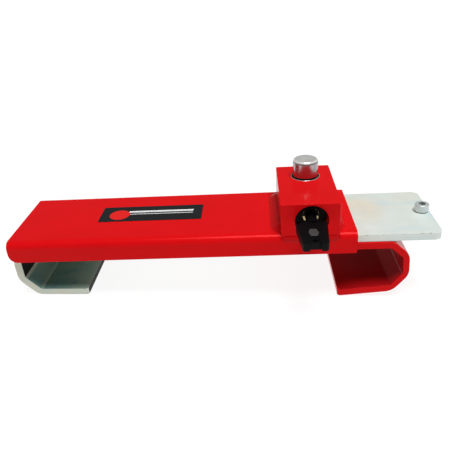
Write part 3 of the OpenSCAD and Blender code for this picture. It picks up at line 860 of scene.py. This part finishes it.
def pin():
    g, h = GROOVE_LOW, GROOVE_TOP
    socket_r = 7.8  # the spring sits in here
    prof = [(0, TIP_LOW), (5.0, TIP_LOW), (SHAFT_R, TIP_LOW + 1.0), (SHAFT_R, FLANGE_LOW + 7.5)]
    prof += [(socket_r, FLANGE_LOW + 7.5), (socket_r, FLANGE_LOW)]
    prof += [(FLANGE_R - 0.3, FLANGE_LOW), (FLANGE_R, FLANGE_LOW + 0.3)]
    prof += [(FLANGE_R, FLANGE_TOP - 0.3), (FLANGE_R - 0.3, FLANGE_TOP)]
    prof += [(HEAD_R, FLANGE_TOP), (HEAD_R, g - 0.3), (HEAD_R - 0.3, g)]
    prof += [(GROOVE_R, g), (GROOVE_R, h), (HEAD_R - 0.4, h), (HEAD_R, h + 0.4)]
    prof += [(HEAD_R, 36.0), (HEAD_R, 41.0)]
    prof += arc(HEAD_R - 2.8, HEAD_TOP - 2.8, 2.8, 0, 78, 12)
    prof += [(7.6, HEAD_TOP - 0.02), (4.0, HEAD_TOP), (0, HEAD_TOP)]
    ob = as_object("pin_body", lathe(prof, 128, "z", (AXIS_X, PIN_Y, 0)))
    finish_piece(ob, "pin", PIN_METAL, ["locking_pin"], bevel=0, smooth_angle=28)
    # rubber ring in the top of the pin's groove, black so that it also paints the shade in the gap
    # beneath the knob
    inner = GROOVE_R + 0.02
    prof = [(inner, h - 1.8)] + arc(10.6, h - 0.95, 0.9, -90, 90, 10) + [(inner, h - 0.06)]
    ob = as_object("pin_shade_o_ring", lathe(prof, 96, "z", (AXIS_X, PIN_Y, 0)))
    finish_piece(ob, "pin", RUBBER, [], bevel=0, smooth_angle=60)


def collar():
    r = HEAD_R + 0.35
    t = BZ1
    w = RING_R - 0.7
    prof = [(r, FLANGE_TOP + 0.3), (CHAMBER_R, FLANGE_TOP + 0.3)]
    prof += [(CHAMBER_R, CHAMBER_TOP), (RING_R, CHAMBER_TOP), (RING_R, t + 0.05)]
    prof += [(RING_R - 0.08, t + 0.2), (RING_R - 0.25, t + 0.3)]
    prof += [(w + 0.2, t + 0.28), (w, t + 0.1), (w, t - 2), (r, t - 2)]
    ob = as_object("collar_ring", lathe(prof, 128, "z", (AXIS_X, PIN_Y, 0)))
    finish_piece(ob, "base", RING_METAL, ["pin_collar"], bevel=0, smooth_angle=50)
    r2 = HEAD_R + 0.3
    prof = [(r2, t - 2), (w, t - 2), (w, t - 0.02), (w - 0.2, t - 0.05), (r2, t - 0.3)]
    ob = as_object("wiper_ring", lathe(prof, 128, "z", (AXIS_X, PIN_Y, 0)))
    finish_piece(ob, "base", RUBBER, ["pin_wiper_seal"], bevel=0, smooth_angle=40)


def coil_mesh(r, w, turns, length, q, m):
    """Spring of wire w at radius r with closed ends: q rings a turn, m sides."""

    def h(s):
        if s < 1:
            return w / 2 + s * w * 1.03
        if s > turns - 1:
            return length - w / 2 - (turns - s) * w * 1.03
        return w / 2 + w * 1.03 + (length - w - 2 * w * 1.03) * (s - 1) / (turns - 2)

    bm = bmesh.new()
    rings = []
    for i in range(turns * q + 1):
        a = 2 * math.pi * i / q
        c = Vector((r * math.cos(a), r * math.sin(a), h(i / q)))
        u = Vector((math.cos(a), math.sin(a), 0))
        ring = []
        for j in range(m):
            b = 2 * math.pi * j / m
            lift = Vector((0, 0, w / 2 * math.sin(b)))
            ring.append(bm.verts.new(c + u * w / 2 * math.cos(b) + lift))
        rings.append(ring)
    skin(bm, rings)
    return bm


def springs():
    low = d_box("pin_spring")[0][2]
    bm = coil_mesh(6.95, 1.2, 6, SPRING_LENGTH, 40, 12)
    bmesh.ops.translate(bm, vec=(AXIS_X, PIN_Y, low), verts=bm.verts)
    ob = as_object("pin_coil", bm)
    finish_piece(ob, "base", SPRING, ["pin_spring"], bevel=0, smooth_angle=50)
    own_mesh(ob)


# ------------------------------------------------------------------ cylinder face, plug and key
def key():
    half0, half1 = 13.5, 10.6
    cx = AXIS_X - 1.3
    y0, y1, by = BOW_Y0, BOW_Y1, BADGE_Y
    outline = (
        arc(half1 - 2.5, y0 + 2.5, 2.5, -90, -6, 8)
        + arc(half0 - 2, y1 - 2, 2, 6, 90, 8)
        + [(-half0 + 7.5, y1), (-half0 + 5.5, y1 - 0.4), (-half0, y1 - 5)]
        + arc(-half1 + 2.5, y0 + 2.5, 2.5, 186, 270, 8)
    )
    outline = [(cx + x, y) for x, y in outline]
    ob = as_object("bow_body", prism(outline, "z", KEY_Z - KEY_HALF, KEY_Z + KEY_HALF))
    neck = prism(circle(AXIS_X, KEY_Z, 4.9, 48), "y", y1 - 1, FACE_Y - 0.9)
    cut(ob, neck, mode="UNION")
    cut(ob, prism(rect(AXIS_X - 4, y1 + 3, AXIS_X + 4, FACE_Y), "z", KEY_Z - 1.2, KEY_Z + 1.2))

    def hexagon(a, f, b):
        corners = (a, 0), (f, b), (-f, b), (-a, 0), (-f, -b), (f, -b)
        return [(cx + x, by + y) for x, y in corners]

    cut(ob, prism(hexagon(4.5, 2.8, 6.2), "z", KEY_Z + 2.7, KEY_Z + 5))
    cut(ob, prism(rect(cx - 3.4, y0 - 1, cx + 3.4, by - 6.6), "z", KEY_Z + 2.5, KEY_Z + 5))
    cut(ob, prism(circle(cx, y0 + 6.6, 2.2, 48), "z", KEY_Z - 5, KEY_Z + 5))
    cut(ob, prism(rect(cx - 4.7, y0 - 1, cx + 4.7, y0 + 2.6), "z", KEY_Z - 5, KEY_Z + 5))
    finish_piece(ob, "key", BLACK, ["key_bow"], bevel=0.8, segments=4)
    # badge with a sloping facet toward the hand end
    ob = as_object("bow_badge", prism(hexagon(4.3, 2.6, 5.9), "z", KEY_Z + 2.7, KEY_Z + KEY_HALF))
    for v in ob.data.vertices:
        if v.co.z > KEY_Z + 3 and v.co.y < by - 3:
            v.co.z -= 0.35
    finish_piece(ob, "key", BADGE, ["key_badge"], bevel=0.3, segments=3)


def face():
    w = RECESS_R - 0.2
    # a fine groove runs round the disc between its hole and its rim
    prof = [(7.4, 0.15), (7.55, 0.0), (9.2, 0.0), (9.4, 0.18), (9.6, 0.0)]
    prof += [(w - 0.4, 0.0), (w, 0.4), (w, 1.0), (7.4, 1.0)]
    ob = as_object("face_disc", lathe(prof, 96, "y", (AXIS_X, FACE_Y, KEY_Z)))
    finish_piece(ob, "base", FACE_BLACK, ["cylinder_face"], bevel=0)
    # painted shade: a black disc over the plug where its brass edge lies in shade, and two brass
    # arcs beside the keyway as painted highlights on the lit lower edge
    y = FACE_Y - 0.2
    ob = as_object("plug_shade_cap", prism(circle(AXIS_X, KEY_Z, 7.3, 96), "y", y - 0.25, y + 0.05))
    slot = rect(AXIS_X - 4.3, KEY_Z - 1.5, AXIS_X + 4.3, KEY_Z + 1.5)
    cut(ob, prism(slot, "y", y - 1, y + 1))
    finish_piece(ob, "plug", FACE_BLACK, [], bevel=0.06, segments=2)
    for k, (a, b) in enumerate(((184, 222), (318, 356))):
        shape = arc(AXIS_X, KEY_Z, 6.9, a, b, 10) + arc(AXIS_X, KEY_Z, 5.3, b, a, 10)
        ob = as_object(f"plug_glint_{k}", prism(shape, "y", y - 0.42, y - 0.2))
        finish_piece(ob, "plug", BRASS_GLINT, [], bevel=0.05, segments=2)


def label():
    lo, hi = d_box("label_plate")
    film = rrect(lo[0], lo[1], hi[0], hi[1], [1.2] * 4, 6)
    ob = as_object("label_film", prism(film, "z", 0.0, LABEL_TOP))
    finish_piece(ob, "base", LABEL, ["label_plate"], bevel=0.08, segments=2)
    lo, hi = d_box("label_disc")
    cx, cy = (lo[0] + hi[0]) / 2, (lo[1] + hi[1]) / 2
    dot = circle(cx, cy, (hi[0] - lo[0]) / 2, 96)
    ob = as_object("label_dot", prism(dot, "z", LABEL_TOP, 0.42))
    finish_piece(ob, "base", LABEL_RED, ["label_disc"], bevel=0.04, segments=2)
    # two plain stripes, each given by its middle, height and thickness
    for k, (y, h, top) in enumerate(((8.0, 3.4, 0.42), (3.0, 1.1, 0.36))):
        stripe = rrect(104, y - h / 2, 168, y + h / 2, [0.5] * 4, 4)
        ob = as_object(f"label_stripe_{k}", prism(stripe, "z", LABEL_TOP, top))
        finish_piece(ob, "base", LABEL_WHITE, [], bevel=0)


channel()
block()
welds()
bar()
hook()
screw()
pin()
collar()
springs()
key()
face()
label()

# CAD nodes whose shape is already right keep it and only get their material
for name, mat in (
    ("pin_carrier", STEEL),
    ("latch_plate", STEEL),
    ("cylinder_body", BRASS),
    ("cylinder_plug", BRASS),
    ("plug_cam", STEEL),
    ("key_pins", BRASS),
    ("driver_pins", STEEL),
    ("driver_springs", SPRING),
    ("chamber_strip", BRASS),
    ("anti_drill_pins", HARD_STEEL),
    ("cylinder_dowel", STEEL),
    ("key_blade", KEY_METAL),
):
    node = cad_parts[name]
    node.data.materials.clear()
    node.data.materials.append(mat)


# ------------------------------------------------------------------ floor, light and camera
def floor():
    m, nt, b, vec = material("floor_paper")
    fac = noise_tex(nt, vec, 3.0, 3.0)
    nt.links.new(grey_ramp(nt, fac, 0.3, 0.14, 0.7, 0.16), b.inputs["Base Color"])
    b.inputs["Roughness"].default_value = 0.8
    b.inputs["Specular IOR Level"].default_value = 0.1
    # the paper glows a little, which keeps it pale under the object
    b.inputs["Emission Color"].default_value = (1, 1, 1, 1)
    b.inputs["Emission Strength"].default_value = 0.89
    # the two lips stand at different heights, so the floor leans to touch both
    right = TO_FRAME @ Vector((303.4, 0, SHELF_LOW - MOUTH - 2.2 - 6.98))
    left = TO_FRAME @ Vector((65.8, 0, BAR_LOW - MOUTH - 1.8 - 6.4))
    slope = (left.z - right.z) / (left.x - right.x)
    gap = 0.0004
    size, n = 12.0, 8
    marks = [size * (2 * i / n - 1) for i in range(n + 1)]
    bm = bmesh.new()
    grid = []
    for y in marks:
        row = [(x, y, right.z - gap + slope * (x - right.x)) for x in marks]
        grid.append([bm.verts.new(v) for v in row])
    for j in range(n):
        for i in range(n):
            bm.faces.new((grid[j][i], grid[j][i + 1], grid[j + 1][i + 1], grid[j + 1][i]))
    ob = as_object("floor", bm)
    ob.data.materials.append(m)


def stage_light():
    w = bpy.data.worlds.new("studio")
    bpy.context.scene.world = w
    w.use_nodes = True
    bg = w.node_tree.nodes["Background"]
    bg.inputs["Color"].default_value = (1, 1, 1, 1)
    bg.inputs["Strength"].default_value = 0.10
    data = bpy.data.lights.new("overhead", "SUN")
    data.energy = 3.3
    data.angle = math.radians(28)
    ob = bpy.data.objects.new("overhead", data)
    bpy.context.scene.collection.objects.link(ob)
    ob.rotation_euler = Vector((-0.12, 0.17, -1.0)).to_track_quat("-Z", "Y").to_euler()


def camera():
    """Pinhole camera fitted to the straight edges of channel, block, bar and hooks."""
    image_px, focal_px = 450, 518.145
    yaw, pitch, roll = (math.radians(v) for v in (4.209, 28.111, -3.892))
    flat = math.cos(pitch)
    fwd = Vector((-math.sin(yaw) * flat, math.cos(yaw) * flat, -math.sin(pitch)))
    right = Vector((math.cos(yaw), math.sin(yaw), 0))
    up = right.cross(fwd)
    r = right * math.cos(roll) + up * math.sin(roll)
    u = -right * math.sin(roll) + up * math.cos(roll)
    data = bpy.data.cameras.new("camera")
    data.sensor_width = 36
    data.lens = data.sensor_width * focal_px / image_px
    data.clip_start = 0.01
    ob = bpy.data.objects.new("camera", data)
    bpy.context.scene.collection.objects.link(ob)
    place = Matrix((r, u, -fwd)).transposed().to_4x4()
    place.translation = TO_FRAME @ Vector((231.454, -447.185, 225.974))
    ob.matrix_world = place
    bpy.context.scene.camera = ob


floor()
stage_light()
camera()
bpy.context.scene.view_settings.view_transform = "Standard"
